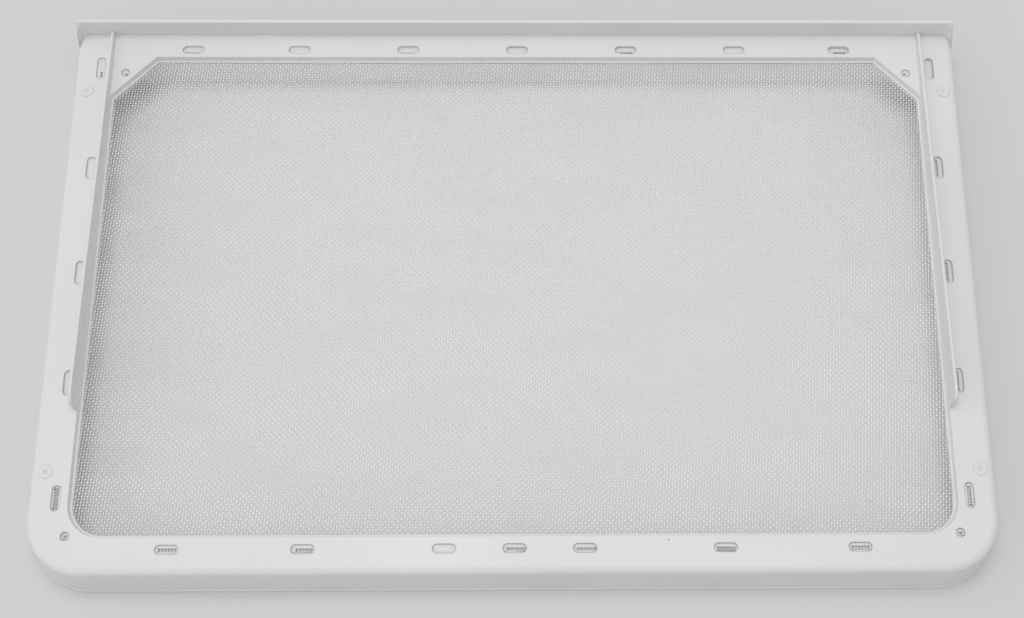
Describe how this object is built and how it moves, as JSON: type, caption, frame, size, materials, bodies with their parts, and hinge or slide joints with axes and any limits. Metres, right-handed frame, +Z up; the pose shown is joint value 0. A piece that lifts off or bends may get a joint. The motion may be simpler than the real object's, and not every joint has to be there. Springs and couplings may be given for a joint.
{
  "type": "tumble dryer lint filter",
  "caption": "Tray-shaped lint filter: a white moulded frame with an upturned flange and side ribs round a fine woven screen that catches lint from a dryer's air.",
  "frame": {"origin": "middle of the foot's plane, on the surface that the filter lies on", "axes": "+X across the filter, +Y towards the upturned flange, +Z up through the screen"},
  "size_m": [0.455, 0.282, 0.0387],
  "materials": {
    "frame_plastic": "white moulded plastic, fine satin",
    "screen_strand": "pale woven monofilament"
  },
  "bodies": {
    "root": {"frame": "frame_plastic", "mesh_screen": "screen_strand"}
  },
  "joints": []
}
